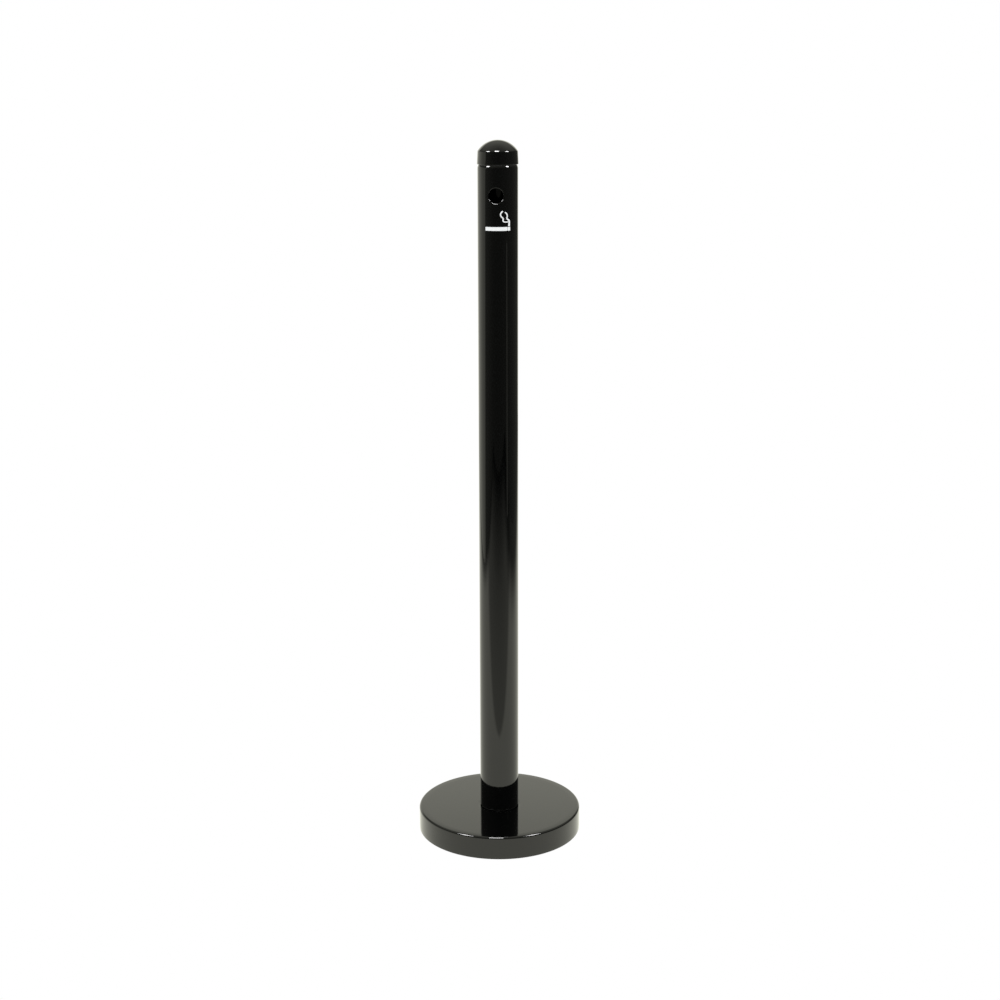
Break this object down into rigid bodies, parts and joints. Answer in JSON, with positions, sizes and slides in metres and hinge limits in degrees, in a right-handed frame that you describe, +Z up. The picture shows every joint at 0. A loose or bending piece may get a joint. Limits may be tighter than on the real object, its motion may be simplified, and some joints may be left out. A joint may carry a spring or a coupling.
{
  "type": "free-standing smokers' pole",
  "caption": "Free-standing cigarette receptacle: gloss-black tube on a weighted round base, with a domed cap, a front inlet hole, a lift-off pole and a lift-out inner canister.",
  "frame": {"origin": "centre of the base's underside, on the floor", "axes": "+Z up along the pole; the inlet hole faces -Y; +X to the right as seen from the front"},
  "size_m": [0.254, 0.254, 1.077],
  "materials": {
    "black_paint": "gloss powder coat",
    "zinc_plate": "zinc plated, dull",
    "cast_iron": "as cast, primed",
    "spring_steel": "oiled",
    "screw_steel": "bright zinc",
    "galvanised_steel": "galvanised",
    "steel_wire": "drawn wire",
    "black_rubber": "matt",
    "black_nylon": "moulded, satin",
    "natural_nylon": "turned, satin",
    "white_vinyl": "printed film"
  },
  "bodies": {
    "base": {"floor_ring": "black_rubber", "base_plate": "zinc_plate", "base_weight": "cast_iron", "base_cover": "black_paint", "spigot_flange": "zinc_plate", "spigot_tube": "zinc_plate", "spigot_circlip": "spring_steel", "canister_pad": "black_rubber", "flange_screw_1": "screw_steel", "flange_screw_2": "screw_steel", "flange_screw_3": "screw_steel", "flange_screw_4": "screw_steel", "plate_screw_1": "screw_steel", "plate_screw_2": "screw_steel", "plate_screw_3": "screw_steel", "plate_screw_4": "screw_steel"},
    "turn_ring": {"guide_sleeve": "natural_nylon", "grip_ring_lower": "black_rubber", "grip_ring_upper": "black_rubber"},
    "pole": {"pole_tube": "black_paint", "pole_foot_ring": "black_rubber", "pictogram_cigarette": "white_vinyl", "pictogram_ember": "white_vinyl", "pictogram_smoke_left": "white_vinyl", "pictogram_smoke_right": "white_vinyl"},
    "cap": {"cap_shell": "black_paint", "cap_plug": "black_nylon", "cap_screw": "screw_steel", "cap_nut": "screw_steel"},
    "canister": {"canister_tube": "galvanised_steel", "canister_bottom": "galvanised_steel", "canister_rim": "black_nylon"},
    "bail": {"bail": "steel_wire"}
  },
  "joints": [
    {"name": "pole_turn", "type": "hinge", "parent": "base", "child": "turn_ring", "pos_m": [0, 0, 0.067], "axis": [0, 0, 1], "continuous": true},
    {"name": "pole_lift", "type": "slide", "parent": "turn_ring", "child": "pole", "axis": [0, 0, 1], "range_m": [0, 0.8]},
    {"name": "cap_lift", "type": "slide", "parent": "pole", "child": "cap", "axis": [0, 0, 1], "range_m": [0, 0.035]},
    {"name": "canister_lift", "type": "slide", "parent": "base", "child": "canister", "axis": [0, 0, 1], "range_m": [0, 0.17]},
    {"name": "bail_swing", "type": "hinge", "parent": "canister", "child": "bail", "pos_m": [0, 0, 0.79], "axis": [1, 0, 0], "continuous": true}
  ]
}
